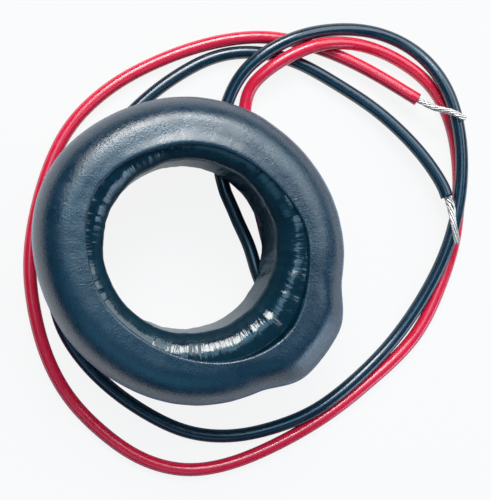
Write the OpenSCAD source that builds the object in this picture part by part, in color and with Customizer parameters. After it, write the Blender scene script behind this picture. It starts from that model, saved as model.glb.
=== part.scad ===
// Ring current transformer with two flying leads.
// A tape-wound core sits in a two-part case and carries a toroidal winding. Film and glossy tape
// wrap the winding, and the two joints to the leads lie against its outer wall under a heat-shrunk
// sleeve, which bulges over them. Origin: the centre of the window, with +Z along the window's axis.
// Millimetres.

/* [Ring] */
// Diameter of the clear window
window_d = 27.5; // [26:0.5:29]
// Diameter over the sleeve, away from the joints
ring_d = 48.8; // [48:0.2:50]
// Height over the sleeve
ring_h = 19; // [18.5:0.5:20]
// Radius of the ring's outer shoulders
shoulder_r = 6; // [5.5:0.1:6.5]
// Radius of the window's two lips
lip_r = 2.2; // [1.6:0.1:2.6]

/* [Layers] */
// Thickness of the heat-shrunk sleeve
sleeve_t = 0.6; // [0.5:0.05:0.7]
// Thickness of the glossy tape wrap
tape_t = 0.4; // [0.3:0.05:0.5]
// Thickness of the polyester film over the winding
film_t = 0.3; // [0.2:0.05:0.4]
// Build of the winding on the outer wall
winding_out_t = 1.3; // [1.1:0.1:1.5]
// Build of the winding in the window, where the turns crowd
winding_in_t = 2; // [1.7:0.1:2.2]
// Build of the winding on the two end faces
winding_end_t = 1.4; // [1.2:0.1:1.6]
// Number of turns that show on the outer layer
turns = 90; // [60:2:96]
// Wall of the core case
case_t = 0.9; // [0.7:0.1:1]

/* [Joints] */
// Direction of the black lead's joint, in degrees from +X
black_joint_at = -44; // [-46:1:-42]
// Direction of the red lead's joint, in degrees from +X
red_joint_at = -29; // [-30:1:-27]
// Thickness of the pad between the tape wrap and the joints
pad_t = 0.7; // [0.5:0.1:0.8]
// Diameter of the small sleeve over each joint
joint_d = 3.4; // [3.2:0.1:3.5]

/* [Leads] */
// Diameter of each lead over its insulation
lead_d = 2.3; // [2.2:0.05:2.35]
// Diameter of the twisted, tinned strands
strand_bundle_d = 1.1; // [0.9:0.05:1.2]
// Number of strands in each lead
strands = 7; // [5:1:9]

/* [Hidden] */
$fn = 96;

// Each layer's inner radius, outer radius, height and corner radii follow from the one over it.
window_r = window_d / 2;
tape_out_r = ring_d / 2 - sleeve_t;
tape_h = ring_h - 2 * sleeve_t;
film_in_r = window_r + tape_t;
film_out_r = tape_out_r - tape_t;
film_h = tape_h - 2 * tape_t;
winding_in_r = film_in_r + film_t;
winding_out_r = film_out_r - film_t;
winding_h = film_h - 2 * film_t;
case_in_r = winding_in_r + winding_in_t;
case_out_r = winding_out_r - winding_out_t;
case_h = winding_h - 2 * winding_end_t;
case_corner_r = 0.6;
lid_t = case_t;
lid_rib = 0.4;
cushion_t = 0.7;
core_play = 0.15;
core_in_r = case_in_r + case_t + core_play;
core_out_r = case_out_r - case_t - core_play;
core_bottom = case_t - case_h / 2;
core_top = case_h / 2 - lid_t - cushion_t;
strip_pitch = 0.32;
strip_relief = 0.12;

// The winding: wire for the tails, how deep the valleys between turns are, the gap in degrees
// between its start and its finish, and how many flats its inside has.
tail_d = 0.7;
tail_bend_r = 1.2;
tail_z = winding_h / 2 - 1.9;
tail_rise = tail_z - tail_bend_r;
tail_from_r = winding_out_r - 1.05;
turn_crest = 0.25;
winding_gap = 3;
bobbin_rings = 60;
bobbin_play = 0.05;

// The leads lie on the floor and the ring lies on the leads. Their strands are twisted together,
// turning by so many degrees at each step.
lead_r = lead_d / 2;
floor_z = -ring_h / 2 - lead_d;
lying_z = floor_z + lead_r;
root_z = floor_z + sleeve_t + lead_r;
root_bend_r = 6.35;
strand_lobe = 0.12 * strand_bundle_d;
strand_steps = 4;
strand_twist = 25;

// The joints stand on end against a pad, each in a small sleeve with a drawn-in neck.
joint_r = tape_out_r + pad_t + joint_d / 2;
joint_bottom = root_z + root_bend_r;
joint_grip = 2.2;
joint_neck_h = 1;
joint_neck_wall = 0.5;
joint_taper = 1.4;
joint_h = tail_rise - joint_neck_h / 2 - joint_bottom;
solder_h = 4;
solder_top = joint_bottom + joint_grip + solder_h;
solder_flare = 0.3;
pad_h = 6.8;
pad_reach = 12;

// The sleeve stands off the ring over the joints and where it was drawn round them.
edge_r = 16.4;
edge_margin = 1.2;
corner_thinning = 1.7;
sleeve_stations = 90;
corner_steps = 5;

// Points along each lead from where it leaves the sleeve to the end of its insulation: x, y and
// how far its centre is lifted above that of a lead lying on the floor.
BLACK_ROUTE = [[14.3, -6, sleeve_t], [13.5, -3.8, sleeve_t], [12.2, 0.6, 0.1], [9.8, 6, 0],
    [6.8, 13.9, 0], [7.3, 21.6, 0], [9.5, 28.8, 0.9], [13.7, 33.6, 2.3], [20.5, 37.4, 2.5],
    [28.4, 39.2, 0.9], [36, 38.9, 0], [43, 35.6, 0.5], [47.7, 29.5, 2.3], [50.2, 22, 2.4],
    [50.8, 14, 2.4], [49.8, 6, 2.3], [47.4, -2, 1.8], [43.1, -10.3, 0.7], [37.8, -17.4, 0.5],
    [31.4, -23.4, 1.1], [24.4, -28.6, 1.3], [17.3, -31.6, 0.3], [9.5, -33.2, 0], [1.5, -32.4, 0],
    [-5.6, -29, 0], [-12.2, -24.3, 0], [-17.9, -18.2, 0], [-21.7, -10.4, 0], [-21.6, 2, 0],
    [-14.6, 16.3, 0], [-7.2, 25, 0], [-0.8, 30.1, 0], [6.1, 33.9, 0], [13.5, 34.9, 0], [21, 33.3, 0],
    [28.5, 29.3, 0], [36, 24.5, 0.6], [42.9, 17.7, 1.7], [46.9, 11.9, 2.2], [47.9, 9.3, 2.4]];
RED_ROUTE = [[16.9, -1.6, sleeve_t], [15.8, 0.4, sleeve_t], [14.8, 4.6, 0], [12.6, 13.5, 0],
    [11.2, 25.9, 0.1], [14.7, 30.9, 2], [20.2, 34.4, 2.5], [26, 36.4, 2.5], [33.4, 36.5, 0.2],
    [40.2, 33.8, 0], [45.8, 29.6, 0], [49.3, 23.5, 0], [50.8, 16, 0], [50.9, 8.5, 0], [50, 1, 0],
    [47.6, -6.2, 0], [44.1, -13.8, 0], [39.8, -19, 0], [34.7, -23.4, 0], [29.2, -27.8, 0],
    [23.2, -31.7, 0], [16.1, -35.3, 0], [8.6, -38.1, 0], [0.9, -39, 0], [-6.5, -36.9, 0],
    [-12.9, -32.5, 0], [-19, -26.3, 0], [-23, -18.9, 0], [-25.2, -10.7, 0], [-26, -2.5, 0],
    [-25, 5.6, 0], [-22.7, 13.9, 0], [-18.9, 21.6, 0], [-11.9, 28.3, 0], [-3.4, 33, 0], [5.6, 36.3, 0],
    [15, 37.7, 0], [23.9, 36.2, 0], [33, 32.6, 0.4], [42.6, 26.7, 2]];
// The bare strands run on from there, over the leads that pass beneath them.
BLACK_BARE = [[47.9, 9.3, 2.4], [48.4, 7.8, 2.9], [48.6, 4.7, 4], [49.3, 0.8, 4]];
RED_BARE = [[42.6, 26.7, 2], [45.4, 25.2, 2.9], [48.5, 24.3, 4], [50.7, 23.1, 4.2]];

// ---- Shared shapes ----

// The section of a ring layer, with its own radius on the inner and on the outer corners
module ring_section(inner, outer, height, inner_corner, outer_corner) {
    translate([inner + inner_corner, -height / 2])
        square([outer - inner - inner_corner - outer_corner, height]);
    translate([inner, inner_corner - height / 2])
        square([outer - inner - outer_corner, height - 2 * inner_corner]);
    translate([inner + inner_corner, outer_corner - height / 2])
        square([outer - inner - inner_corner, height - 2 * outer_corner]);
    for (side = [-1, 1]) {
        translate([inner + inner_corner, side * (height / 2 - inner_corner)])
            circle(inner_corner);
        translate([outer - outer_corner, side * (height / 2 - outer_corner)]) intersection() {
            circle(outer_corner);
            translate([0, -outer_corner]) square([outer_corner, 2 * outer_corner]);
        }
    }
}

// A closed layer round the ring: a section with the next section taken out of it
module ring_layer() {
    rotate_extrude($fn = 180) difference() {
        children(0);
        children(1);
    }
}

module tape_outline() {
    ring_section(window_r, tape_out_r, tape_h, lip_r, shoulder_r - sleeve_t);
}

module film_outline() {
    ring_section(film_in_r, film_out_r, film_h, lip_r - tape_t, shoulder_r - sleeve_t - tape_t);
}

module winding_outline() {
    ring_section(winding_in_r, winding_out_r, winding_h, lip_r - tape_t - film_t,
        shoulder_r - sleeve_t - tape_t - film_t);
}

module case_outline() {
    ring_section(case_in_r, case_out_r, case_h, case_corner_r, case_corner_r);
}

// Triangles of a tube's wall, from point `first` on, whose rings have `sides` points each;
// joined = true joins the last ring to the first
function tube_wall(rings, sides, first, joined) =
    [for (i = [0:rings - (joined ? 1 : 2)]) for (j = [0:sides - 1])
        let (a = first + i * sides + j, b = first + (i + 1) % rings * sides + j, step = (j + 1) % sides - j)
        each [[a, b, b + step], [a, b + step, a + step]]];

// The wall and the two flat ends of an open tube
function tube_faces(rings, sides) = concat(tube_wall(rings, sides, 0, false),
    [[for (j = [0:sides - 1]) j], [for (j = [sides - 1:-1:0]) (rings - 1) * sides + j]]);

// The flat rim between a ring of an outer wall and the ring of an inner wall inside it
function tube_rim(outer, inner, sides, last) =
    [for (j = [0:sides - 1]) let (k = (j + 1) % sides)
        each last ? [[outer + j, inner + k, outer + k], [outer + j, inner + j, inner + k]]
            : [[outer + j, outer + k, inner + k], [outer + j, inner + k, inner + j]]];

function unit(v) = v / norm(v);

// The direction of a route at point i, from its neighbours
function heading(path, i) = unit(path[min(i + 1, len(path) - 1)] - path[max(i - 1, 0)]);

function across(path, i) = unit(cross(heading(path, i), [0, 0, 1]));

// A round tube swept along a route, with a flat side down
module swept_tube(path, radius, sides = 8) {
    corner = radius / cos(180 / sides);
    points = [for (i = [0:len(path) - 1]) for (j = [0:sides - 1])
        let (side = across(path, i), down = cross(heading(path, i), side), a = (j + 0.5) * 360 / sides)
        path[i] + corner * (side * cos(a) + down * sin(a))];
    polyhedron(points, tube_faces(len(path), sides), convexity = 10);
}

// A route on the floor, lifted where it passes over something
function lying(route) = [for (p = route) [p[0], p[1], lying_z + p[2]]];

// A smooth rise from 0 to 1 to 0, centred on one direction and `reach` degrees wide each way
function fullness(angle, centre, reach) =
    let (off = abs((angle - centre + 540) % 360 - 180))
    off < reach ? (1 + cos(180 * off / reach)) / 2 : 0;

// The same with a flat top `flat` degrees wide each way
function plateau(angle, centre, flat, reach) =
    let (off = abs((angle - centre + 540) % 360 - 180))
    off < flat ? 1 : off < reach ? (1 + cos(180 * (off - flat) / (reach - flat))) / 2 : 0;

// ---- Core and case ----

// Strip wound up into a ring: its turns show as steps on both end faces
module core() {
    color([0.45, 0.46, 0.48]) rotate_extrude($fn = 180) difference() {
        translate([core_in_r, core_bottom]) square([core_out_r - core_in_r, core_top - core_bottom]);
        for (r = [core_in_r + strip_pitch:strip_pitch * 2:core_out_r - strip_pitch]) {
            translate([r, core_top - strip_relief]) square([strip_pitch, strip_relief + 1]);
            translate([r, core_bottom - 1]) square([strip_pitch, strip_relief + 1]);
        }
    }
}

module core_cushion() {
    color([0.85, 0.85, 0.8]) rotate_extrude($fn = 180)
        translate([core_in_r + lid_rib, core_top])
            square([core_out_r - core_in_r - 2 * lid_rib, cushion_t]);
}

module core_case_cup() {
    color([0.14, 0.14, 0.15]) rotate_extrude($fn = 180) difference() {
        case_outline();
        translate([case_in_r + case_t, core_bottom])
            square([case_out_r - case_in_r - 2 * case_t, case_h]);
        translate([case_in_r - 1, case_h / 2 - lid_t])
            square([case_out_r - case_in_r + 2, case_h]);
    }
}

// The lid's two ribs drop inside the cup's walls and hold it central
module core_case_lid() {
    color([0.2, 0.2, 0.21]) rotate_extrude($fn = 180) {
        intersection() {
            case_outline();
            translate([case_in_r - 1, case_h / 2 - lid_t])
                square([case_out_r - case_in_r + 2, case_h]);
        }
        for (r = [case_in_r + case_t, case_out_r - case_t - lid_rib])
            translate([r, core_top + strip_relief])
                square([lid_rib, case_h / 2 - core_top - strip_relief - lid_t / 2]);
    }
}

// ---- Winding ----

// A rounded corner as three points of radius and height, from angle `from` turning clockwise
function corner_points(centre_r, centre_z, radius, from) =
    [for (a = [from, from - 45, from - 90]) [centre_r + radius * cos(a), centre_z + radius * sin(a)]];

// The outline of one turn, `inset` inside the winding's outer surface
function turn_outline(inset) =
    let (lip = lip_r - tape_t - film_t, shoulder = shoulder_r - sleeve_t - tape_t - film_t,
        top = winding_h / 2)
    concat(
        corner_points(winding_in_r + lip, top - lip, lip - inset, 180),
        corner_points(winding_out_r - shoulder, top - shoulder, shoulder - inset, 90),
        corner_points(winding_out_r - shoulder, shoulder - top, shoulder - inset, 0),
        corner_points(winding_in_r + lip, lip - top, lip - inset, -90));

// The outline of the space that the case fills, just clear of its walls
function bobbin_outline() =
    let (inner = case_in_r - bobbin_play, outer = case_out_r + bobbin_play, top = case_h / 2,
        corner = case_corner_r / 3)
    concat(
        corner_points(inner + corner, top - corner, corner, 180),
        corner_points(outer - corner, top - corner, corner, 90),
        corner_points(outer - corner, corner - top, corner, 0),
        corner_points(inner + corner, corner - top, corner, -90));

// A section turned to one direction round the ring
function turned(outline, angle) = [for (p = outline) [p[0] * cos(angle), p[0] * sin(angle), p[1]]];

// Every turn is a crest between two valleys. The winding starts and finishes either side of a
// narrow gap, as a toroidal winding does, so it is one tube that bends nearly all the way round.
module winding() {
    sides = len(bobbin_outline());
    steps = 2 * turns;
    flats = bobbin_rings - 1;
    start = (black_joint_at + red_joint_at + winding_gap) / 2;
    sweep = 360 - winding_gap;
    points = concat(
        [for (i = [0:steps])
            each turned(turn_outline(i % 2 == 0 ? turn_crest : 0), start + sweep * i / steps)],
        [for (i = [0:flats]) each turned(bobbin_outline(), start + sweep * i / flats)]);
    inside = (steps + 1) * sides;
    faces = concat(
        tube_wall(steps + 1, sides, 0, false),
        [for (f = tube_wall(bobbin_rings, sides, inside, false)) [f[2], f[1], f[0]]],
        tube_rim(0, inside, sides, false),
        tube_rim(inside - sides, inside + flats * sides, sides, true));
    color([0.62, 0.3, 0.12]) polyhedron(points, faces, convexity = 10);
}

// The start or the finish of the winding, led out over its shoulder and down into a joint
module winding_tail() {
    color([0.62, 0.3, 0.12]) {
        translate([joint_r, 0, solder_top]) cylinder(d = tail_d, h = tail_rise - solder_top, $fn = 24);
        translate([joint_r - tail_bend_r, 0, tail_rise]) rotate([90, 0, 0])
            rotate_extrude(angle = 90, $fn = 48) translate([tail_bend_r, 0]) circle(d = tail_d, $fn = 24);
        translate([tail_from_r, 0, tail_z]) rotate([0, 90, 0])
            cylinder(d = tail_d, h = joint_r - tail_bend_r - tail_from_r, $fn = 24);
    }
}

// A hole in a layer where each tail passes out through it
module tail_holes() {
    for (at = [black_joint_at, red_joint_at]) rotate([0, 0, at])
        translate([tail_from_r, 0, tail_z]) rotate([0, 90, 0])
            cylinder(d = tail_d, h = ring_d, $fn = 24);
}

module insulating_film() {
    color([0.85, 0.75, 0.3]) difference() {
        ring_layer() {
            film_outline();
            winding_outline();
        }
        tail_holes();
    }
}

module tape_wrap() {
    color([0.07, 0.09, 0.11]) difference() {
        ring_layer() {
            tape_outline();
            film_outline();
        }
        tail_holes();
    }
}

// ---- Joints ----

// A curved pad between the tape wrap's wall and the two joints
module joint_pad() {
    color([0.75, 0.72, 0.66]) rotate([0, 0, (black_joint_at + red_joint_at) / 2 - pad_reach])
        rotate_extrude(angle = 2 * pad_reach, $fn = 180)
            translate([tape_out_r, -pad_h / 2]) square([joint_r - joint_d / 2 - tape_out_r, pad_h]);
}

// Solder over the tail and the tinned core, fattest in the middle
module solder_joint() {
    r = strand_bundle_d / 2;
    color([0.78, 0.79, 0.8]) translate([joint_r, 0, joint_bottom + joint_grip]) rotate_extrude($fn = 32)
        polygon([[0, 0], [r, 0], [r + solder_flare, solder_h * 0.3], [r + solder_flare, solder_h * 0.6],
            [tail_d / 2, solder_h], [0, solder_h]]);
}

// A small shrunk sleeve: snug on the lead below, drawn down to the winding's tail above
module joint_sleeve() {
    neck = joint_h - joint_neck_h;
    neck_r = tail_d / 2 + joint_neck_wall;
    color([0.09, 0.1, 0.12]) translate([joint_r, 0, joint_bottom]) rotate_extrude($fn = 48)
        polygon([[lead_r, 0], [joint_d / 2, 0], [joint_d / 2, neck - joint_taper], [neck_r, neck],
            [neck_r, joint_h], [tail_d / 2, joint_h], [tail_d / 2, neck],
            [lead_r, neck - joint_taper]]);
}

// The lead's first stretch, under the sleeve: down from its joint, round under the ring and out
// to the place where its route begins.
module lead_root(at, route) {
    start = [joint_r * cos(at), joint_r * sin(at)];
    away = [route[0][0], route[0][1]] - start;
    translate([start[0], start[1], 0]) rotate([0, 0, atan2(away[1], away[0])]) {
        translate([0, 0, joint_bottom]) cylinder(d = lead_d, h = joint_grip, $fn = 48);
        translate([root_bend_r, 0, joint_bottom]) rotate([90, 0, 180])
            rotate_extrude(angle = -90, $fn = 96) translate([root_bend_r, 0]) circle(d = lead_d, $fn = 48);
        translate([root_bend_r, 0, root_z]) rotate([0, 90, 0])
            cylinder(d = lead_d, h = norm(away) - root_bend_r, $fn = 48);
    }
}

// ---- Outer sleeve ----

// How far the sleeve's wall stands off the plain ring in a direction
function wall_swell(angle) = 0.2 + 1.45 * fullness(angle, -12, 68) + 1.8 * fullness(angle, -66, 70)
    + 1.1 * fullness(angle, 155, 50) + 2.2 * plateau(angle, -38, 8, 27);

// How far its underside drops to pass beneath the two lead roots
function underside_drop(angle) = lead_d * plateau(angle, -22, 24, 38);

// Where its two free edges lie: the upper one is drawn outwards beside the joints, and the lower
// one is pushed outwards where the red lead comes out past it
function upper_edge_r(angle) = edge_r + 4.6 * pow(fullness(angle, -36, 105), 1.4)
    + fullness(angle, 150, 45);
function lower_edge_r(angle) = edge_r + fullness(angle, 10, 25);

// The sleeve thins where it is stretched over a shoulder: how much less its inner corner's radius is
function shoulder_radius(inset) = shoulder_r - corner_thinning * inset;

// An outline at one direction, from the lower edge round the wall to the upper edge, `inset` inside
// the sleeve's outer surface
function sleeve_outline(angle, inset) =
    let (wall = ring_d / 2 + wall_swell(angle), low = -ring_h / 2 - underside_drop(angle) + inset,
        high = ring_h / 2 - inset, corner = shoulder_radius(inset), centre = wall - inset - corner,
        upper_edge = min(upper_edge_r(angle), wall - edge_margin), lower_edge = lower_edge_r(angle))
    concat(
        [[lower_edge, low], [(lower_edge + centre) / 2, low]],
        [for (k = [0:corner_steps]) let (a = -90 + 90 * k / corner_steps)
            [centre + corner * cos(a), low + corner + corner * sin(a)]],
        [for (k = [0:corner_steps]) let (a = 90 * k / corner_steps)
            [centre + corner * cos(a), high - corner + corner * sin(a)]],
        [[upper_edge, high - sag(max(0, upper_edge - centre), corner)]]);

// How far a round shoulder has dropped at a distance past its start
function sag(past, corner) = corner - sqrt(max(0, corner * corner - past * past));

module outer_sleeve() {
    sides = 2 * (2 * corner_steps + 5);
    points = [for (i = [0:sleeve_stations - 1]) let (a = i * 360 / sleeve_stations,
        outside = sleeve_outline(a, 0), inside = sleeve_outline(a, sleeve_t), last = len(outside) - 1)
        each turned(concat(inside, [for (k = [last:-1:0]) outside[k]]), a)];
    color([0.11, 0.15, 0.18])
        polyhedron(points, tube_wall(sleeve_stations, sides, 0, true), convexity = 10);
}

// ---- Leads ----

module black_lead() {
    color([0.09, 0.12, 0.15]) swept_tube(lying(BLACK_ROUTE), lead_r);
}

module red_lead() {
    color([0.85, 0.1, 0.2]) swept_tube(lying(RED_ROUTE), lead_r);
}

// Strands twisted together: a lobed section that turns as it runs along the route
module bare_end(route) {
    coarse = lying(route);
    last = len(coarse) - 1;
    path = [each [for (i = [0:last - 1]) for (k = [0:strand_steps - 1])
        coarse[i] + (coarse[i + 1] - coarse[i]) * k / strand_steps], coarse[last]];
    sides = 4 * strands;
    points = [for (i = [0:len(path) - 1]) for (j = [0:sides - 1])
        let (side = across(path, i), down = cross(heading(path, i), side),
            a = j * 360 / sides + strand_twist * i,
            r = strand_bundle_d / 2 - strand_lobe * (1 - cos(strands * j * 360 / sides)) / 2)
        path[i] + r * (side * cos(a) + down * sin(a))];
    color([0.8, 0.8, 0.81]) polyhedron(points, tube_faces(len(path), sides), convexity = 10);
}

core();
core_cushion();
core_case_cup();
core_case_lid();
winding();
rotate([0, 0, black_joint_at]) winding_tail();  // start_tail
rotate([0, 0, red_joint_at]) winding_tail();  // finish_tail
insulating_film();
tape_wrap();
joint_pad();
rotate([0, 0, black_joint_at]) solder_joint();  // black_solder_joint
rotate([0, 0, red_joint_at]) solder_joint();  // red_solder_joint
rotate([0, 0, black_joint_at]) joint_sleeve();  // black_joint_sleeve
rotate([0, 0, red_joint_at]) joint_sleeve();  // red_joint_sleeve
color([0.09, 0.12, 0.15]) lead_root(black_joint_at, BLACK_ROUTE);  // black_lead_root
color([0.85, 0.1, 0.2]) lead_root(red_joint_at, RED_ROUTE);  // red_lead_root
outer_sleeve();
black_lead();
red_lead();
bare_end(BLACK_BARE);  // black_lead_bare_end
bare_end(RED_BARE);  // red_lead_bare_end
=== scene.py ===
# %% [markdown]
# # A ring current transformer with two flying leads
#
# The object is a ring about 50 mm across, with a clear window through it for a busbar or a cable.
# Its core and winding are out of sight: what shows is a glossy tape wound tightly round the ring,
# a satin heat-shrunk sleeve over the tape's outside, and two PVC leads with bare, tinned ends.
# The CAD model gives every solid its place. This script keeps that frame and dresses it.

# %% Load the fixed frame
import math

import bmesh
import bpy
from mathutils import Matrix, Vector, noise


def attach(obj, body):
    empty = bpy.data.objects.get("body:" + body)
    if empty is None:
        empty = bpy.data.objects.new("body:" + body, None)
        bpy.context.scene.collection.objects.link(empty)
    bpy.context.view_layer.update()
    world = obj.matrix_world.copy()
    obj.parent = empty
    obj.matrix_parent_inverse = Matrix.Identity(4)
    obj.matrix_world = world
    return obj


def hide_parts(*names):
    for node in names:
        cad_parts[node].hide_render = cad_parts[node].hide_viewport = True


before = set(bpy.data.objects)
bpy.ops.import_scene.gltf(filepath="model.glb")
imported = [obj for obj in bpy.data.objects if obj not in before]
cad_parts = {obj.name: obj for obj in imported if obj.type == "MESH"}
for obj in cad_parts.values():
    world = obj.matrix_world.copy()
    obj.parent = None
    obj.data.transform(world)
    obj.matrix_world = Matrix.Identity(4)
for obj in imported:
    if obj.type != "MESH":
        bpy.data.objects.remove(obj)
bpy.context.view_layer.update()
MM = 0.001

# %% [markdown]
# ## A piece
#
# Each piece could be modelled by hand in edit mode. A bmesh that a script builds gives the same
# piece every time, and its sizes stay named values. It is kept as one object that sits at the
# origin, unturned and unscaled, because the frame gives places in one shared space. Lengths are
# written in millimetres and multiplied by MM, since Blender works in metres.

# %% Keep a bmesh as a piece
def keep_piece(bm, name, smooth=True):
    mesh = bpy.data.meshes.new(name)
    bm.to_mesh(mesh)
    bm.free()
    for face in mesh.polygons:
        face.use_smooth = smooth
    piece = bpy.data.objects.new(name, mesh)
    bpy.context.scene.collection.objects.link(piece)
    print(name, len(mesh.vertices), "vertices,", len(mesh.polygons), "faces")
    return piece


# %% [markdown]
# ## Camera
#
# The camera looks down on the ring from about 200 mm, a little from the left, through a long lens.
# A Track To constraint could aim it, but would choose the picture's upright by itself. So its three
# axes are worked out here from where it stands and what it aims at, with +Y up in the picture.

# %% Camera
CAMERA_AT = Vector((-20.43, -3.28, 199.18)) * MM
CAMERA_AIM = Vector((10.05, -0.47, 0)) * MM
PICTURE_UP = Vector((0, 1, 0))

camera_data = bpy.data.cameras.new("camera")
camera_data.lens = 86.4
camera_data.sensor_width = 36
camera_data.clip_start = 0.01
camera = bpy.data.objects.new("camera", camera_data)
back = (CAMERA_AT - CAMERA_AIM).normalized()
right = PICTURE_UP.cross(back).normalized()
axes = Matrix((right, back.cross(right), back)).transposed()
camera.matrix_world = Matrix.Translation(CAMERA_AT) @ axes.to_4x4()
bpy.context.scene.collection.objects.link(camera)
bpy.context.scene.camera = camera
bpy.context.scene.view_settings.view_transform = "Standard"
print("camera", round((CAMERA_AT - CAMERA_AIM).length / MM), "mm from its aim")

# %% [markdown]
# ## The two leads
#
# Each lead is stranded wire in soft PVC, 2.3 mm thick, that leaves the ring under the sleeve and
# lies on the table in loose loops. A simulated cord would settle in a lay of its own, so each lead
# follows a list of points instead, the same as in the CAD source: x, y, and how far it is lifted
# where it crosses something.

# %% Routes of the leads
FLOOR_Z = -11.8
LEAD_D = 2.3
LYING_Z = FLOOR_Z + LEAD_D / 2

BLACK_ROUTE = [
    (14.3, -6, 0.6), (13.5, -3.8, 0.6), (12.2, 0.6, 0.1), (9.8, 6, 0), (6.8, 13.9, 0),
    (7.3, 21.6, 0), (9.5, 28.8, 0.9), (13.7, 33.6, 2.3), (20.5, 37.4, 2.5), (28.4, 39.2, 0.9),
    (36, 38.9, 0), (43, 35.6, 0.5), (47.7, 29.5, 2.3), (50.2, 22, 2.4), (50.8, 14, 2.4),
    (49.8, 6, 2.3), (47.4, -2, 1.8), (43.1, -10.3, 0.7), (37.8, -17.4, 0.5), (31.4, -23.4, 1.1),
    (24.4, -28.6, 1.3), (17.3, -31.6, 0.3), (9.5, -33.2, 0), (1.5, -32.4, 0), (-5.6, -29, 0),
    (-12.2, -24.3, 0), (-17.9, -18.2, 0), (-21.7, -10.4, 0), (-21.6, 2, 0), (-14.6, 16.3, 0),
    (-7.2, 25, 0), (-0.8, 30.1, 0), (6.1, 33.9, 0), (13.5, 34.9, 0), (21, 33.3, 0),
    (28.5, 29.3, 0), (36, 24.5, 0.6), (42.9, 17.7, 1.7), (46.9, 11.9, 2.2), (47.9, 9.3, 2.4),
]
RED_ROUTE = [
    (16.9, -1.6, 0.6), (15.8, 0.4, 0.6), (14.8, 4.6, 0), (12.6, 13.5, 0), (11.2, 25.9, 0.1),
    (14.7, 30.9, 2), (20.2, 34.4, 2.5), (26, 36.4, 2.5), (33.4, 36.5, 0.2), (40.2, 33.8, 0),
    (45.8, 29.6, 0), (49.3, 23.5, 0), (50.8, 16, 0), (50.9, 8.5, 0), (50, 1, 0), (47.6, -6.2, 0),
    (44.1, -13.8, 0), (39.8, -19, 0), (34.7, -23.4, 0), (29.2, -27.8, 0), (23.2, -31.7, 0),
    (16.1, -35.3, 0), (8.6, -38.1, 0), (0.9, -39, 0), (-6.5, -36.9, 0), (-12.9, -32.5, 0),
    (-19, -26.3, 0), (-23, -18.9, 0), (-25.2, -10.7, 0), (-26, -2.5, 0), (-25, 5.6, 0),
    (-22.7, 13.9, 0), (-18.9, 21.6, 0), (-11.9, 28.3, 0), (-3.4, 33, 0), (5.6, 36.3, 0),
    (15, 37.7, 0), (23.9, 36.2, 0), (33, 32.6, 0.4), (42.6, 26.7, 2),
]
BLACK_BARE = [(47.9, 9.3, 2.4), (48.4, 7.8, 2.9), (48.6, 4.7, 4), (49.3, 0.8, 4)]
RED_BARE = [(42.6, 26.7, 2), (45.4, 25.2, 2.9), (48.5, 24.3, 4), (50.7, 23.1, 4.2)]
print("knots:", len(BLACK_ROUTE), "on the black lead,", len(RED_ROUTE), "on the red one")

# %% [markdown]
# A Bezier curve would need handles at every point. A Catmull-Rom curve goes through the points
# without any. Soft wire bends more gently than such a curve does at its tightest points, so the
# line is then drawn towards its own neighbours a few times. Its first stretch is held, so that
# what is hidden under the ring stays hidden.

# %% A smooth line through a route
RELAXING = 12
HELD_POINTS = 28


def smooth_route(route, steps=8, held=0):
    """Points in metres on a Catmull-Rom curve through a route of x, y and lift. All but the first
    few, which are held, then relax a little."""
    knots = [Vector((x, y, LYING_Z + lift)) for x, y, lift in route]
    ends = [2 * knots[0] - knots[1]] + knots + [2 * knots[-1] - knots[-2]]
    line = []
    for before, start, end, after in zip(ends, ends[1:], ends[2:], ends[3:]):
        square = 2 * before - 5 * start + 4 * end - after
        cube = 3 * start - before - 3 * end + after
        for k in range(steps):
            t = k / steps
            point = start + 0.5 * t * (end - before + t * (square + t * cube))
            point.z = max(point.z, LYING_Z)
            line.append(point * MM)
    line.append(knots[-1] * MM)
    for _ in range(RELAXING):
        relaxed = [(a + b + c) / 3 for a, b, c in zip(line, line[1:], line[2:])]
        line = line[:held + 1] + relaxed[held:] + [line[-1]]
    return line


def line_length(line):
    return sum((b - a).length for a, b in zip(line, line[1:]))


black_line = smooth_route(BLACK_ROUTE, held=HELD_POINTS)
red_line = smooth_route(RED_ROUTE, held=HELD_POINTS)
print("insulation, m:", round(line_length(black_line), 4), round(line_length(red_line), 4))


# %% [markdown]
# A curve object with a round bevel is the shortest way to a tube, but its ends can only be open or
# flat. So the curve is made a mesh, and its far end is worked there: the open rim gets a small
# bevel, is turned in to the strands, pushed back into a short hollow and closed, as wire looks
# where a stripping tool has cut it.

# %% Round tubes along lines
def bevelled_lines(lines, radius, name, sides):
    """A bmesh of one or more lines, each a round tube with open ends."""
    curve = bpy.data.curves.new(name, "CURVE")
    curve.dimensions = "3D"
    curve.bevel_depth = radius
    curve.bevel_resolution = sides // 2 - 2
    curve.use_fill_caps = False
    for line in lines:
        spline = curve.splines.new("POLY")
        spline.points.add(len(line) - 1)
        for point, place in zip(spline.points, line):
            point.co = (*place, 1)
    holder = bpy.data.objects.new(name + "_curve", curve)
    bpy.context.scene.collection.objects.link(holder)
    bpy.context.view_layer.update()
    evaluated = holder.evaluated_get(bpy.context.evaluated_depsgraph_get())
    mesh = bpy.data.meshes.new_from_object(evaluated)
    bpy.data.objects.remove(holder)
    bpy.data.curves.remove(curve)
    bm = bmesh.new()
    bm.from_mesh(mesh)
    bpy.data.meshes.remove(mesh)
    return bm


# %% Find the open rims of a tube
def open_rims(bm):
    """The open edges of a tube, as one list of edges for each rim."""
    left = {edge for edge in bm.edges if edge.is_boundary}
    rims = []
    while left:
        rim = []
        todo = [left.pop()]
        while todo:
            edge = todo.pop()
            rim.append(edge)
            for near in {e for v in edge.verts for e in v.link_edges} & left:
                left.discard(near)
                todo.append(near)
        rims.append(rim)
    return rims


def rim_centre(rim):
    verts = {v for edge in rim for v in edge.verts}
    return sum((v.co for v in verts), Vector()) / len(verts)


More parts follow.
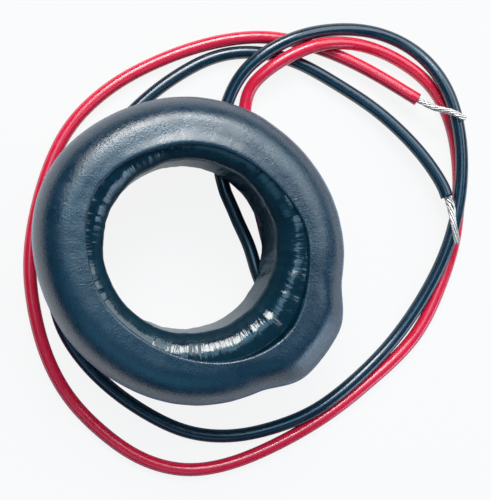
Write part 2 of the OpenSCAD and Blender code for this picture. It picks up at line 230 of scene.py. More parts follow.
# %% Work a rim into a cut end
CUT_BEVEL = 0.07


def turn_in(bm, rim, towards, wall, depth):
    """Closes a tube's rim as a cut end: a small bevel, a flat cut, and a hollow inside it."""
    centre = rim_centre(rim)
    radius = sum((v.co - centre).length for e in rim for v in e.verts) / (2 * len(rim))
    bevel = (1 - CUT_BEVEL * MM / radius, -CUT_BEVEL * MM)
    flat_cut = (1 - wall / radius, 0)
    hollow = (1, depth)
    for share, back_by in (bevel, flat_cut, hollow):
        made = bmesh.ops.extrude_edge_only(bm, edges=rim)["geom"]
        verts = [g for g in made if isinstance(g, bmesh.types.BMVert)]
        bmesh.ops.scale(bm, verts=verts, vec=(share,) * 3, space=Matrix.Translation(-centre))
        bmesh.ops.translate(bm, verts=verts, vec=towards * back_by)
        centre = centre + towards * back_by
        rim = [g for g in made if isinstance(g, bmesh.types.BMEdge)]
    bmesh.ops.contextual_create(bm, geom=rim)


# %% Insulated leads
WALL_T = 0.42
HOLLOW = 1.6
LEAD_SIDES = 20


def insulated_lead(name, line):
    bm = bevelled_lines([line], LEAD_D / 2 * MM, name, LEAD_SIDES)
    for rim in open_rims(bm):
        if (rim_centre(rim) - line[-1]).length < MM:
            turn_in(bm, rim, (line[-2] - line[-1]).normalized(), WALL_T * MM, HOLLOW * MM)
        else:
            bmesh.ops.contextual_create(bm, geom=rim)
    bmesh.ops.recalc_face_normals(bm, faces=bm.faces)
    return keep_piece(bm, name)


black_lead = insulated_lead("black_lead_insulation", black_line)
red_lead = insulated_lead("red_lead_insulation", red_line)

# %% [markdown]
# The bare ends are seven tinned strands with a slack twist. One twisted rod with grooves would do
# from afar, but from close by the strands part from each other. So each strand is a tube of its own
# on a helix round the end's line: six go round one in the middle. Past its root the bundle spreads
# sideways, above all on the black lead, and it closes up again towards the tip.

# %% The line of one strand
OUTER_STRANDS = 6
STRAND_D = 0.37
STRAND_LAY_R = STRAND_D * 0.97
SPREAD_ENDS_AT = 0.75
UNEVEN_TURN = 0.25


def strand_line(k, line, turns, fan):
    """The line of one strand. The last one is the middle one. fan is how much wider the bundle
    spreads sideways."""
    last = len(line) - 1
    strand = []
    for i, point in enumerate(line):
        ahead = (line[min(i + 1, last)] - line[max(i - 1, 0)]).normalized()
        side = ahead.cross(Vector((0, 0, 1))).normalized()
        up = side.cross(ahead)
        along = i / last
        opening = math.sin(math.pi * min(1, along / SPREAD_ENDS_AT)) ** 2
        reach = 0 if k == OUTER_STRANDS else STRAND_LAY_R
        sideways = reach * (1 + fan * opening)
        turn = math.tau * (k / OUTER_STRANDS + turns * along)
        turn += UNEVEN_TURN * noise.noise(Vector((k, along * 3, 0)))
        off = side * math.cos(turn) * sideways + up * math.sin(turn) * reach
        strand.append(point + off * MM)
    return strand


# %% Twist the strands together
STRAND_SIDES = 8
BARE_STEPS = 14
ROOTED_AT = (1.4, 0.9, 0.45)


def twisted_strands(name, route, turns, fan):
    """Seven strands along a route, rooted a little way inside the insulation's hollow."""
    line = smooth_route(route, steps=BARE_STEPS)
    first = (line[1] - line[0]).normalized()
    line = [line[0] - first * step * MM for step in ROOTED_AT] + line
    strands = [strand_line(k, line, turns, fan) for k in range(OUTER_STRANDS + 1)]
    bm = bevelled_lines(strands, STRAND_D / 2 * MM, name, STRAND_SIDES)
    for rim in open_rims(bm):
        bmesh.ops.contextual_create(bm, geom=rim)
    bmesh.ops.recalc_face_normals(bm, faces=bm.faces)
    return keep_piece(bm, name)


black_strands = twisted_strands("black_lead_strands", BLACK_BARE, 0.9, 0.75)
red_strands = twisted_strands("red_lead_strands", RED_BARE, 1.2, 0.1)

# %% [markdown]
# A real lead lies differently wherever it is laid down, but here both leads stay fixed pieces: each
# is attached to the root with the strands on its far end, and the frame's own lead and bare end are
# hidden.

for piece, line, strands, colour, length in (
    (black_lead, black_line, black_strands, "black", 0.316),
    (red_lead, red_line, red_strands, "red", 0.311),
):
    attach(piece, "root")
    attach(strands, "root")
    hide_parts(colour + "_lead")
    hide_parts(colour + "_lead_bare_end")
    print(colour, "lead leaves the ring at", [round(x / MM, 1) for x in line[0]])

# %% [markdown]
# ## The glossy tape wrap
#
# Thin, glossy tape is wound round and round through the window. Where it turns in over the lips the
# turns crowd together, so the surface falls away a little and runs in shallow, uneven folds. A torus
# would give a ring, but not its flat ends and tight lips. So a section is drawn with arcs, and it is
# then spun round the axis.

# %% Arcs and straight stretches of a section
def arc(centre_r, centre_z, radius, start, end, steps):
    """Points of radius and height on an arc, in degrees."""
    turn = [math.radians(start + (end - start) * k / steps) for k in range(steps + 1)]
    return [(centre_r + radius * math.cos(a), centre_z + radius * math.sin(a)) for a in turn]


def between(start, end, steps):
    """Points strictly between two others."""
    return [tuple(a + (b - a) * k / steps for a, b in zip(start, end)) for k in range(1, steps)]


def joined(*runs, steps):
    """Runs of points with straight stretches between them, closed into a loop."""
    loop = []
    for run, after, count in zip(runs, runs[1:] + runs[:1], steps):
        loop += run + between(run[-1], after[0], count)
    return loop


# %% Section of the tape wrap
WINDOW_R = 13.75
TAPE_OUT_R = 23.8
TAPE_H = 17.8
TAPE_T = 0.4
LIP_R = 2.2
TAPE_SHOULDER_R = 5.4


def wrap_outline(inset, arc_steps, stretch_steps):
    """The closed section of the wrap: upper lip, upper shoulder, lower shoulder and lower lip."""
    lip_at = WINDOW_R + LIP_R
    lip_z = TAPE_H / 2 - LIP_R
    lip = LIP_R - inset
    shoulder_at = TAPE_OUT_R - TAPE_SHOULDER_R
    shoulder_z = TAPE_H / 2 - TAPE_SHOULDER_R
    shoulder = TAPE_SHOULDER_R - inset
    return joined(
        arc(lip_at, lip_z, lip, 180, 90, arc_steps[0]),
        arc(shoulder_at, shoulder_z, shoulder, 90, 0, arc_steps[1]),
        arc(shoulder_at, -shoulder_z, shoulder, 0, -90, arc_steps[2]),
        arc(lip_at, -lip_z, lip, -90, -180, arc_steps[3]),
        steps=stretch_steps,
    )


wrap_outside = wrap_outline(0, (14, 8, 4, 10), (6, 2, 4, 12))
wrap_inside = wrap_outline(TAPE_T, (3, 3, 3, 3), (1, 1, 1, 1))
print("section of the wrap:", len(wrap_outside), "points outside,", len(wrap_inside), "inside")


# %% Spin a closed section round the window's axis
def spun(outline, steps):
    """A bmesh of a closed outline of radius and height, in millimetres, spun once round. Each
    vertex carries its place along the outline."""
    bm = bmesh.new()
    station = bm.verts.layers.int.new("station")
    verts = [bm.verts.new((r * MM, 0, z * MM)) for r, z in outline]
    for i, vert in enumerate(verts):
        vert[station] = i
    edges = [bm.edges.new((a, b)) for a, b in zip(verts, verts[1:] + verts[:1])]
    bmesh.ops.spin(bm, geom=verts + edges, cent=(0, 0, 0), axis=(0, 0, 1), angle=math.tau,
                   steps=steps, use_merge=True, use_duplicate=False)
    return bm, station


def face_outwards(bm):
    bmesh.ops.recalc_face_normals(bm, faces=bm.faces)
    bm.normal_update()


def round_noise(angle, size, level):
    """Smooth noise that closes on itself once round the ring."""
    return noise.noise(Vector((size * math.cos(angle), size * math.sin(angle), level)))


# %% [markdown]
# The folds could be displacement in the finish, but then the mesh itself would stay smooth. So the
# spun surface is pressed in along its normals, by noise that grows towards the window. The finest
# creases of the film are left to the finish. The wrap is a shell: a plainer lining, spun the same
# way and turned inside out, closes it from within.

# %% How deep the folds go
FOLDS = 34
FOLD_DEPTH = 0.26
LIP_FALL = 0.1
DEEPEST_FOLD = 0.31
CROWDING_STARTS_R = 18.6
CROWDING_SPAN = 3.2


def fold_depth(angle, r, z):
    """How deep the tape is drawn in at a place, in millimetres."""
    crowding = max(0, min(1, (CROWDING_STARTS_R - r) / CROWDING_SPAN))
    around = FOLDS / math.tau
    coarse = round_noise(angle, around, z * 0.06 + 7)
    fine = round_noise(angle, 3 * around, z * 0.2 + r * 0.2)
    fold = crowding * FOLD_DEPTH * (0.5 + 0.75 * coarse + 0.2 * fine)
    return min(crowding ** 1.4 * LIP_FALL + fold, DEEPEST_FOLD)


at_the_lip = [fold_depth(math.radians(a), WINDOW_R + LIP_R, TAPE_H / 2) for a in range(360)]
print("folds at the lip:", round(min(at_the_lip), 2), "to", round(max(at_the_lip), 2), "mm deep")

# %% Press the folds into the wrap
WRAP_STEPS = 720
LINING_STEPS = 120


def tape_wrap_piece():
    shell, _ = spun(wrap_outside, WRAP_STEPS)
    face_outwards(shell)
    moves = []
    for vert in shell.verts:
        r, z = math.hypot(vert.co.x, vert.co.y) / MM, vert.co.z / MM
        depth = fold_depth(math.atan2(vert.co.y, vert.co.x), r, z)
        moves.append((vert, vert.co - vert.normal * depth * MM))
    for vert, place in moves:
        vert.co = place
    lining, _ = spun(wrap_inside, LINING_STEPS)
    face_outwards(lining)
    bmesh.ops.reverse_faces(lining, faces=lining.faces)
    lining_mesh = bpy.data.meshes.new("lining")
    lining.to_mesh(lining_mesh)
    lining.free()
    shell.from_mesh(lining_mesh)
    bpy.data.meshes.remove(lining_mesh)
    return keep_piece(shell, "glossy_tape_wrap")


tape_wrap = tape_wrap_piece()
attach(tape_wrap, "root")
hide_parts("tape_wrap")

# %% [markdown]
# ## The heat-shrunk sleeve
#
# The sleeve is shrunk over the ring's outside. It bulges over the two joints, stands off a little
# where it was drawn round them, and drops underneath to let the leads out. Sculpting could do this,
# but not twice the same. Instead a few rounded curves, taken over from the CAD source, give the
# section at each direction. One section is spun, and each vertex then goes to its place on the
# section of its own direction.

# %% Rounded curves
def hump(distance, centre, reach):
    """A rounded swelling: 1 at its centre, and 0 from its reach on."""
    off = abs(distance - centre)
    return (1 + math.cos(math.pi * off / reach)) / 2 if off < reach else 0


def off_centre(angle, centre):
    return abs((angle - centre + 180) % 360 - 180)


def fullness(angle, centre, reach):
    """A hump round one direction, in degrees."""
    return hump(off_centre(angle, centre), 0, reach)


def plateau(angle, centre, flat, reach):
    """A hump that keeps its full height over a stretch."""
    off = off_centre(angle, centre)
    return 1 if off < flat else hump(off, flat, reach - flat)


# %% How the sleeve stands off the ring
EDGE_R = 16.4


def wall_swell(angle):
    """How far the wall stands off the ring: widely on both sides of the joints, most right over
    them, and a little across from them."""
    return (0.2 + 1.45 * fullness(angle, -12, 68) + 1.8 * fullness(angle, -66, 70)
            + 1.1 * fullness(angle, 155, 50) + 2.2 * plateau(angle, -38, 8, 27))


def underside_drop(angle):
    """How far the underside drops, to pass beneath the two leads."""
    return LEAD_D * plateau(angle, -22, 24, 38)


def upper_edge_r(angle):
    """Where the upper free edge lies. It is drawn in at one side, which the CAD leaves out."""
    drawn_in = 0.9 * fullness(angle, -16, 30)
    return EDGE_R + 4.6 * fullness(angle, -36, 105) ** 1.4 + fullness(angle, 150, 45) - drawn_in


def lower_edge_r(angle):
    return EDGE_R + fullness(angle, 10, 25)


print("the sleeve's wall stands off by up to", round(max(map(wall_swell, range(360))), 2), "mm")

# %% Section of the sleeve
RING_R = 24.4
RING_H = 19.0
SHOULDER_R = 6.0
SLEEVE_T = 0.6
EDGE_MARGIN = 1.2
EDGE_ROUND = 0.26
THINNING = 1.7


def sleeve_section(angle, inset):
    """The outline at one direction, from the lower free edge round the wall to the upper one. The
    outer outline ends in a rounded rim, and the inner one, which is inset, in a plain corner."""
    wall = RING_R + wall_swell(angle)
    low = -RING_H / 2 - underside_drop(angle) + inset
    high = RING_H / 2 - inset
    corner = SHOULDER_R - THINNING * inset
    centre = wall - inset - corner
    upper = min(upper_edge_r(angle), wall - EDGE_MARGIN)
    under = arc(centre, low + corner, corner, -90, 0, 9)
    over = arc(centre, high - corner, corner, 0, 90, 12)
    lower = (lower_edge_r(angle), low)
    rim = [(upper, high)]
    if not inset:
        rim = arc(upper + EDGE_ROUND, high - EDGE_ROUND, EDGE_ROUND, 90, 180, 3)
    return ([lower] + between(lower, under[0], 5) + under + between(under[-1], over[0], 6)
            + over + between(over[-1], rim[0], 8) + rim)


def whole_section(angle):
    return sleeve_section(angle, 0) + sleeve_section(angle, SLEEVE_T)[::-1]


print("section of the sleeve:", len(whole_section(0)), "points")

# %% [markdown]
# A real sleeve is never as smooth as its section. Hot air leaves it broadly uneven, with a flat on
# the shoulder over the joints, small wrinkles beside them, and a low bead with a dip behind it
# where the upper edge was warmest. All of this stays under half a millimetre. Bump in the finish
# would leave the outline smooth, so it is added to the mesh, along its normals.

# %% Relief of the sleeve
BROAD_RELIEF = 0.08
SMALL_RELIEF = 0.03
WRINKLE_RELIEF = 0.06
WARM_SIDE = 92
BEAD_LEAST = 0.03
BEAD_MORE = 0.37
DIP_DEPTH = 0.16
FLAT_DEPTH = 0.28
RELIEF_TOP_Z = 9


def sleeve_relief(angle, r, z):
    """How far the sleeve's surface stands proud of its smooth shape, in millimetres."""
    turn = math.radians(angle)
    broad = round_noise(turn, 3.2, z * 0.12 + r * 0.1)
    small = round_noise(turn, 11, z * 0.4 + r * 0.35)
    wrinkle = math.sin(math.radians(angle * 9 + z * 14)) * fullness(angle, -4, 14)
    shoulder = RING_R + wall_swell(angle) - SHOULDER_R
    tilt = math.degrees(math.atan2(r - shoulder, z - (RING_H / 2 - SHOULDER_R)))
    flat = FLAT_DEPTH * fullness(angle, -38, 42) * hump(tilt, 41, 24)
    relief = BROAD_RELIEF * broad + SMALL_RELIEF * small + WRINKLE_RELIEF * wrinkle - flat
    if z > RELIEF_TOP_Z:
        warm = fullness(angle, WARM_SIDE, 60)
        inward = r - upper_edge_r(angle)
        relief += (BEAD_LEAST + BEAD_MORE * warm) * hump(inward, 0.1, 1.9)
        relief -= DIP_DEPTH * warm * hump(inward, 3.0, 1.6)
    return relief


# %% Spin the sleeve and shape it
SLEEVE_STEPS = 360


def outer_sleeve_piece():
    bm, station = spun(whole_section(0), SLEEVE_STEPS)
    outside_count = len(sleeve_section(0, 0))
    sections = {}
    for vert in bm.verts:
        angle = round(math.degrees(math.atan2(vert.co.y, vert.co.x)), 3)
        if angle not in sections:
            sections[angle] = whole_section(angle)
        r, z = sections[angle][vert[station]]
        turn = math.radians(angle)
        vert.co = (r * math.cos(turn) * MM, r * math.sin(turn) * MM, z * MM)
    face_outwards(bm)
    moves = []
    for vert in bm.verts:
        if vert[station] < outside_count:
            r, z = math.hypot(vert.co.x, vert.co.y) / MM, vert.co.z / MM
            angle = math.degrees(math.atan2(vert.co.y, vert.co.x))
            moves.append((vert, vert.co + vert.normal * sleeve_relief(angle, r, z) * MM))
    for vert, place in moves:
        place.z = max(place.z, FLOOR_Z * MM)
        vert.co = place
    return keep_piece(bm, "shrunk_outer_sleeve")


outer_sleeve = outer_sleeve_piece()
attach(outer_sleeve, "root")
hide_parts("outer_sleeve")

# %% [markdown]
# ## Finishes
#
# Every finish of the part is a Principled shader with its own small set of nodes. A picture wrapped
# round the piece would need a UV map and shows its grid from close by, so all patterns are worked
# out from Object coordinates, which are metres on the object: a scale of 2000 is a grain of half a
# millimetre.

# %% Make nodes and link them
def feed(owner, value, socket):
    """Links a value that is a socket, and writes any other into the input."""
    if isinstance(value, bpy.types.NodeSocket):
        owner.node_tree.links.new(value, socket)
    else:
        socket.default_value = value


def node(owner, kind, **values):
    """A new node of a material or a world, with its inputs and properties set."""
    made = owner.node_tree.nodes.new(kind)
    for key, value in values.items():
        if key in made.inputs:
            feed(owner, value, made.inputs[key])
        else:
            setattr(made, key, value)
    return made


def fed_in_order(owner, kind, *values, **properties):
    """A new node whose inputs are fed one after the other, because their names repeat."""
    made = node(owner, kind, **properties)
    for socket, value in zip(made.inputs, values):
        feed(owner, value, socket)
    return made


def maths(owner, operation, *values):
    return fed_in_order(owner, "ShaderNodeMath", *values, operation=operation).outputs[0]


def vector_maths(owner, operation, *values):
    return fed_in_order(owner, "ShaderNodeVectorMath", *values, operation=operation).outputs


# %% Places on a piece
def place_on(material, stretch=(1, 1, 1)):
    """Coordinates on the piece, stretched by so much along each axis."""
    place = node(material, "ShaderNodeTexCoord").outputs["Object"]
    return node(material, "ShaderNodeMapping", Vector=place, Scale=stretch).outputs[0]


def around_ring(material, radius, along, down):
    """Coordinates that run round the ring and along its section, so that a pattern can be drawn
    out across the ring, and the distance from the axis. radius is where the pattern keeps its
    size, in metres; along shrinks it down the section; down is 1 where the section falls outwards
    and -1 where it falls into the window."""
    place = node(material, "ShaderNodeTexCoord").outputs["Object"]
    height = node(material, "ShaderNodeSeparateXYZ", Vector=place).outputs["Z"]
    flat = vector_maths(material, "MULTIPLY", place, (1, 1, 0))[0]
    reach = vector_maths(material, "LENGTH", flat)["Value"]
    heading = vector_maths(material, "NORMALIZE", flat)[0]
    outward = node(material, "ShaderNodeVectorMath", operation="SCALE", Vector=heading, Scale=radius)
    travel = maths(material, "MULTIPLY_ADD", height, -down, reach)
    lifted = node(material, "ShaderNodeCombineXYZ", Z=maths(material, "MULTIPLY", travel, along))
    placed = vector_maths(material, "ADD", outward.outputs[0], lifted.outputs[0])[0]
    return placed, reach


# %% A pattern, and a number that it drives
def grain(material, place, scale, detail=3.0, roughness=0.55):
    return node(material, "ShaderNodeTexNoise", Vector=place, Scale=scale, Detail=detail,
                Roughness=roughness).outputs[0]


def between_values(material, factor, low, high, start=0.35, end=0.65, easing="LINEAR"):
    """A number that goes from low to high as the pattern goes from start to end. Plain noise
    seldom leaves the span that is given here."""
    ends = {"From Min": start, "From Max": end, "To Min": low, "To Max": high}
    return node(material, "ShaderNodeMapRange", Value=factor, interpolation_type=easing,
                **ends).outputs[0]


# %% Colour and bump from a pattern
def ramp(owner, factor, *stops):
    """A colour that goes through stops, each a position and a colour."""
    made = node(owner, "ShaderNodeValToRGB", Fac=factor)
    elements = made.color_ramp.elements
    elements[0].position = stops[0][0]
    elements[1].position = stops[-1][0]
    for position, _ in stops[1:-1]:
        elements.new(position)
    for element, (_, colour) in zip(elements, stops):
        element.color = (*colour, 1)
    return made.outputs[0]


def between_colours(material, pattern, low, high):
    return ramp(material, pattern, (0.3, low), (0.7, high))


def press(material, shader, height, distance, under=None):
    """Bump of a height pattern, over any bump that is under it; distance is in metres."""
    made = node(material, "ShaderNodeBump", Height=height, Distance=distance)
    if under is not None:
        feed(material, under, made.inputs["Normal"])
    feed(material, made.outputs[0], shader.inputs["Normal"])
    return made.outputs[0]


# %% A new finish
def new_finish(name, roughness, metallic=0.0, ior=1.45):
    material = bpy.data.materials.new(name)
    material.use_nodes = True
    shader = material.node_tree.nodes["Principled BSDF"]
    shader.inputs["Roughness"].default_value = roughness
    shader.inputs["Metallic"].default_value = metallic
    shader.inputs["IOR"].default_value = ior
    print("finish:", name)
    return material, shader


# %% [markdown]
# The sleeve is satin polyolefin, dark with a cool cast. As it shrank, its skin was drawn into fine
# hair lines across the ring, and its gloss is patchy, as on any plastic that was shrunk with hot
# air. One even roughness would look moulded, so a broken pattern sets it, and two layers of bump
# give the pores and the hair lines.

# %% Finish of the sleeve
sleeve_finish, shader = new_finish("shrunk_sleeve_satin", 0.36, ior=1.92)
shader.inputs["Sheen Weight"].default_value = 0.35
shader.inputs["Sheen Roughness"].default_value = 0.3
shader.inputs["Sheen Tint"].default_value = (0.35, 0.62, 1, 1)
place = place_on(sleeve_finish)
drawn, _ = around_ring(sleeve_finish, radius=0.022, along=0.22, down=1)
cloud = grain(sleeve_finish, place, 160)
patch = grain(sleeve_finish, place, 260, 6.0, 0.8)
hair = grain(sleeve_finish, drawn, 3600, 3.0, 0.65)
pores = grain(sleeve_finish, place, 3800, 2.0)
colour = between_colours(sleeve_finish, cloud, (0.001, 0.024, 0.050), (0.002, 0.034, 0.066))
feed(sleeve_finish, colour, shader.inputs["Base Color"])
gloss = between_values(sleeve_finish, patch, 0.20, 0.36)
feed(sleeve_finish, gloss, shader.inputs["Roughness"])
skin = press(sleeve_finish, shader, pores, 0.00005)
press(sleeve_finish, shader, hair, 0.000045, under=skin)
outer_sleeve.data.materials.append(sleeve_finish)

# %% [markdown]
# The tape is much glossier, and its film is creased across the ring wherever it crowds into the
# window. One noise would look like leather. So four layers of bump lie on each other, from broad to
# fine: the film turning over the lip, clumps of turns, creases across the ring, and specks. The
# creases glint where a lamp finds them and stay dark elsewhere. On the steep part of the lip the
# film is worn duller.

# %% Colour and patterns of the tape
tape_finish, shader = new_finish("glossy_tape_film", 0.16, ior=1.8)
place = place_on(tape_finish)
creased, reach = around_ring(tape_finish, radius=0.0165, along=0.16, down=-1)
crease = grain(tape_finish, creased, 2300, 2.0, 0.5)
cluster = grain(tape_finish, creased, 400, 1.0)
specks = grain(tape_finish, place, 2400, 2.0)
cloud = grain(tape_finish, place, 300)
colour = between_colours(tape_finish, cloud, (0.001, 0.020, 0.036), (0.002, 0.030, 0.050))
feed(tape_finish, colour, shader.inputs["Base Color"])

# %% Wear and relief of the tape
LIP_STARTS_R = 13.8
LIP_TURNED_R = 18.1
WEAR_ENDS_R = 15.8
WEAR = ((0, 0.16), (0.12, 0.16), (0.3, 0.36), (0.6, 0.32), (1, 0.13))

from_window = between_values(tape_finish, reach, 0, 1, LIP_STARTS_R * MM, WEAR_ENDS_R * MM)
worn = ramp(tape_finish, from_window, *((at, (rough,) * 3) for at, rough in WEAR))
feed(tape_finish, worn, shader.inputs["Roughness"])
lip = between_values(tape_finish, reach, 0, 1, LIP_STARTS_R * MM, LIP_TURNED_R * MM, "SMOOTHERSTEP")
turn_over = press(tape_finish, shader, lip, 0.00095)
clumps = press(tape_finish, shader, cluster, 0.0005, under=turn_over)
creases = press(tape_finish, shader, crease, 0.00008, under=clumps)
press(tape_finish, shader, specks, 0.000025, under=creases)
tape_wrap.data.materials.append(tape_finish)
print("the tape's wear ends", WEAR_ENDS_R, "mm from the axis")

# %% [markdown]
# PVC insulation is smooth, but never perfectly so: handling dulls it in places. A coarse grain makes
# its gloss uneven, and a fine one breaks up its highlight. The two leads share one recipe and differ
# only in colour.

# %% Finish of the insulation
def insulation_finish(name, low, high):
    material, shader = new_finish(name, 0.26, ior=1.85)
    place = place_on(material)
    colour = between_colours(material, grain(material, place, 220), low, high)
    feed(material, colour, shader.inputs["Base Color"])
    gloss = between_values(material, grain(material, place, 900), 0.12, 0.27)
    feed(material, gloss, shader.inputs["Roughness"])
    press(material, shader, grain(material, place, 5200, 2.0), 0.00001)
    return material


black_pvc = insulation_finish("black_pvc", (0.003, 0.022, 0.042), (0.005, 0.032, 0.060))
red_pvc = insulation_finish("red_pvc", (0.88, 0.012, 0.048), (0.95, 0.020, 0.068))
black_lead.data.materials.append(black_pvc)
red_lead.data.materials.append(red_pvc)

# %% [markdown]
# Tinned copper is bright metal with a faintly uneven skin. Plain grey would look like paint, so it
# is mostly metallic, with a warm and a pale tone mixed over it.

# %% Finish of the tinned strands
tinned, shader = new_finish("tinned_copper_strand", 0.3, metallic=0.7)
place = place_on(tinned)
cloud = grain(tinned, place, 1400)
colour = between_colours(tinned, cloud, (0.72, 0.63, 0.59), (0.94, 0.87, 0.82))
feed(tinned, colour, shader.inputs["Base Color"])
gloss = between_values(tinned, grain(tinned, place, 2600), 0.24, 0.42)
feed(tinned, gloss, shader.inputs["Roughness"])
press(tinned, shader, grain(tinned, place, 4200), 0.00002)
for piece in (black_strands, red_strands):
    piece.data.materials.append(tinned)


# %% [markdown]
# ## Finishes of the parts inside
#
# The rest of the model is the transformer's inside. It shows only when the part is taken apart or
# cut, but each part still has its own finish: wound steel strip, foam, moulded plastic, enamelled
# wire, film, pad paper, solder and the small sleeves over the joints. One pattern that drives
# colour, gloss and relief together is enough for these.

# %% A finish from one pattern
def plain_finish(name, low, high, roughness, scale, depth, metallic=0.0, stretch=(1, 1, 1)):
    """A colour and a gloss that vary a little, over a fine relief."""
    material, shader = new_finish(name, roughness, metallic=metallic)
    pattern = grain(material, place_on(material, stretch), scale)
    feed(material, between_colours(material, pattern, low, high), shader.inputs["Base Color"])
    gloss = between_values(material, pattern, roughness * 0.8, roughness * 1.2)
    feed(material, gloss, shader.inputs["Roughness"])
    press(material, shader, pattern, depth)
    return material


# %% Finishes of the parts inside
core_steel = plain_finish("wound_strip_steel", (0.28, 0.28, 0.30), (0.46, 0.46, 0.47), 0.32,
                          scale=900, depth=0.00003, metallic=1.0, stretch=(1, 1, 0.1))
foam = plain_finish("cushion_foam", (0.62, 0.60, 0.52), (0.78, 0.76, 0.68), 0.95,
                    scale=1600, depth=0.0001)
moulded = plain_finish("moulded_case", (0.014, 0.015, 0.017), (0.022, 0.023, 0.026), 0.5,
                       scale=1300, depth=0.00002)
enamel = plain_finish("enamelled_copper", (0.42, 0.13, 0.035), (0.58, 0.21, 0.06), 0.24,
                      scale=700, depth=0.00001, metallic=0.9)
film = plain_finish("polyester_film", (0.62, 0.44, 0.06), (0.72, 0.54, 0.10), 0.2,
                    scale=500, depth=0.00001)
paper = plain_finish("pad_paper", (0.50, 0.45, 0.36), (0.62, 0.57, 0.48), 0.9,
                     scale=1500, depth=0.00006)
solder = plain_finish("solder", (0.55, 0.56, 0.58), (0.70, 0.71, 0.72), 0.22,
                      scale=1200, depth=0.00003, metallic=1.0)
small_sleeve = plain_finish("small_shrunk_sleeve", (0.008, 0.026, 0.048), (0.013, 0.036, 0.062),
                            0.4, scale=1500, depth=0.00003)

# %% Give the frame's own nodes their finish
NODE_FINISHES = {
    "core": core_steel, "core_cushion": foam, "core_case_cup": moulded, "core_case_lid": moulded,
    "winding": enamel, "start_tail": enamel, "finish_tail": enamel, "insulating_film": film,
    "joint_pad": paper, "black_solder_joint": solder, "red_solder_joint": solder,
    "black_joint_sleeve": small_sleeve, "red_joint_sleeve": small_sleeve,
    "black_lead_root": black_pvc, "red_lead_root": red_pvc,
}
for name, finish in NODE_FINISHES.items():
    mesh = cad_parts[name].data
    mesh.materials.clear()
    mesh.materials.append(finish)
print(len(NODE_FINISHES), "nodes of the frame have their own finish")

# %% [markdown]
# ## Table
#
# The part lies on a plain white table. More light until the table is white would bleach the part as
# well. So the table keeps a plain colour under plain light, and Light Path mixes in white where the
# camera sees it, which leaves the part's shadow. Glossy surfaces are shown white from the table too,
# but with a painted shadow and a painted pool of light in it: a wide round zone on the near side of
# the ring, where its shadow falls, is painted dark for them, and a spot inside the window, where the
# key lamp's light comes through, is painted lit.

# %% Table
FLOOR_GAP = 0.02
TABLE_SIZE = 3.0

bm = bmesh.new()
bmesh.ops.create_grid(bm, x_segments=4, y_segments=4, size=TABLE_SIZE / 2)
bmesh.ops.translate(bm, verts=bm.verts, vec=(0, 0, (FLOOR_Z - FLOOR_GAP) * MM))
table = keep_piece(bm, "white_table", smooth=False)

# %% Finish of the table
TABLE_WHITE = (0.68, 0.68, 0.69)
WHITE_SEEN = 0.88
WHITE_MIRRORED = 0.95

table_finish, shader = new_finish("table_white", 0.8, ior=1.2)
shader.inputs["Base Color"].default_value = (*TABLE_WHITE, 1)


def painted_light_zone(x, y, dark_r, lit_r):
    """Painted light round a point for glossy rays: how much white the table shows them, none at one
    distance and all of it at another.
    """
    place = node(table_finish, "ShaderNodeTexCoord").outputs["Object"]
    from_point = (-x * MM, -y * MM, 0)
    spot = node(table_finish, "ShaderNodeMapping", Vector=place, Location=from_point).outputs[0]
    away = vector_maths(table_finish, "LENGTH", spot)["Value"]
    return between_values(table_finish, away, 0, WHITE_MIRRORED, dark_r * MM, lit_r * MM)


# Painted shadow: no white is mirrored within 44 mm of a point on the near side, where the ring's
# shadow falls. Painted light: a lit spot inside the window, where the key lamp's light comes
# through.
outside_painted_shadow = painted_light_zone(20, -30, 44, 62)
painted_light_through_window = painted_light_zone(2, -10, 9, 4)

# %% Mix in the white
rays = node(table_finish, "ShaderNodeLightPath").outputs
seen = maths(table_finish, "MULTIPLY", rays["Is Camera Ray"], WHITE_SEEN)
mirrored = maths(table_finish, "MAXIMUM", rays["Is Glossy Ray"], rays["Is Transmission Ray"])
# The painted lit table: white for glossy rays outside the painted shadow and in the painted spot.
painted_lit_table = maths(table_finish, "MAXIMUM", outside_painted_shadow, painted_light_through_window)
white_share = maths(table_finish, "MULTIPLY_ADD", mirrored, painted_lit_table, seen)
glow = node(table_finish, "ShaderNodeEmission", Color=(1, 1, 1, 1), Strength=1.0)
mixed = fed_in_order(table_finish, "ShaderNodeMixShader", white_share, shader.outputs[0],
                     glow.outputs[0])
surface = table_finish.node_tree.nodes["Material Output"].inputs["Surface"]
feed(table_finish, mixed.outputs[0], surface)
table.data.materials.append(table_finish)
print("of white, the camera sees", WHITE_SEEN, "and a gloss mirrors", WHITE_MIRRORED)

# %% [markdown]
# ## Surroundings
#
# The room round the table is dim and cool, and a little lighter overhead, so that dark, glossy
# surfaces have something soft to mirror. An image of a studio could do it, but a two-colour ramp
# over height is enough. The camera sees plain white instead, where the table ends. The Mix node
# that does this keeps sockets for every kind of data, so the ones for colours go by number.

# %% Surroundings
LOW_TENT = (0.015, 0.025, 0.04)
HIGH_TENT = (0.05, 0.07, 0.10)
MIX_FIRST_COLOUR = 6
MIX_SECOND_COLOUR = 7
MIXED_COLOUR = 2

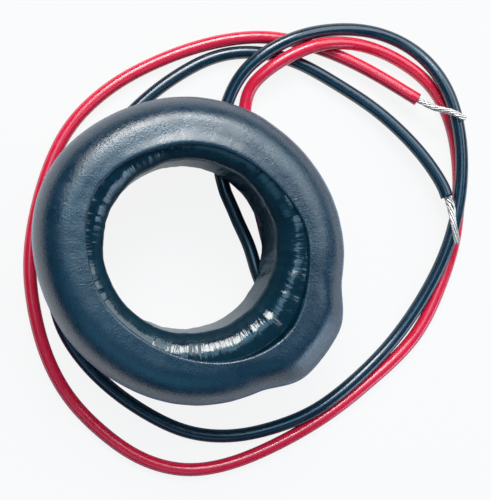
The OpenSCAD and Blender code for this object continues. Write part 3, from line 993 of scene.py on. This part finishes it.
world = bpy.data.worlds.new("light_tent")
bpy.context.scene.world = world
world.use_nodes = True
background = world.node_tree.nodes["Background"]
direction = node(world, "ShaderNodeTexCoord").outputs["Generated"]
height = node(world, "ShaderNodeSeparateXYZ", Vector=direction).outputs["Z"]
tent = ramp(world, height, (0.3, LOW_TENT), (0.9, HIGH_TENT))
seen = node(world, "ShaderNodeLightPath").outputs["Is Camera Ray"]
backdrop = node(world, "ShaderNodeMix", data_type="RGBA")
feed(world, seen, backdrop.inputs["Factor"])
feed(world, tent, backdrop.inputs[MIX_FIRST_COLOUR])
feed(world, (1, 1, 1, 1), backdrop.inputs[MIX_SECOND_COLOUR])
feed(world, backdrop.outputs[MIXED_COLOUR], background.inputs["Color"])
background.inputs["Strength"].default_value = 1.0
print("the surroundings go from", LOW_TENT, "to", HIGH_TENT)

# %% [markdown]
# ## Lamps
#
# Small lamps would leave hard, tiny glints on the glossy tape, so all five are large rectangles. The
# key lamp stands beyond the far side, where it rakes over the ring. A broad lamp carries its light
# round to the right, a low one grazes the right-hand side, and two weak ones fill from above and
# from the near side. A lamp is given by how bright its face is, not by its power, so that a change
# of its size leaves its mirror image as bright as before.

# %% Lamps
LAMP_DISTANCE = 1.0


def lamp(name, azimuth, elevation, width, height, brightness, colour):
    """A soft rectangular lamp that faces the ring. Azimuth is counted from +X towards +Y, and
    brightness is in watts per square metre and steradian."""
    light = bpy.data.lights.new(name, "AREA")
    light.shape = "RECTANGLE"
    light.size = width
    light.size_y = height
    light.energy = brightness * math.pi * width * height
    light.color = colour
    holder = bpy.data.objects.new(name, light)
    a, e = math.radians(azimuth), math.radians(elevation)
    out = Vector((math.cos(a) * math.cos(e), math.sin(a) * math.cos(e), math.sin(e)))
    holder.location = out * LAMP_DISTANCE
    holder.rotation_euler = out.to_track_quat("Z", "Y").to_euler()
    holder.visible_camera = False
    bpy.context.scene.collection.objects.link(holder)
    print(name, "gives", round(light.energy, 2), "W")


lamp("key_lamp", 97, 49, 0.5, 0.45, 10.4, (1, 1, 0.98))
lamp("side_lamp", 44, 44, 0.9, 0.75, 2.3, (0.8, 0.94, 1))
lamp("low_lamp", -32, 12, 0.55, 0.42, 3.2, (0.55, 0.76, 1))
lamp("overhead_lamp", 124, 72, 0.55, 0.55, 1.9, (0.42, 0.76, 1))
lamp("fill_lamp", -112, 46, 0.95, 0.55, 0.55, (0.25, 0.7, 1))
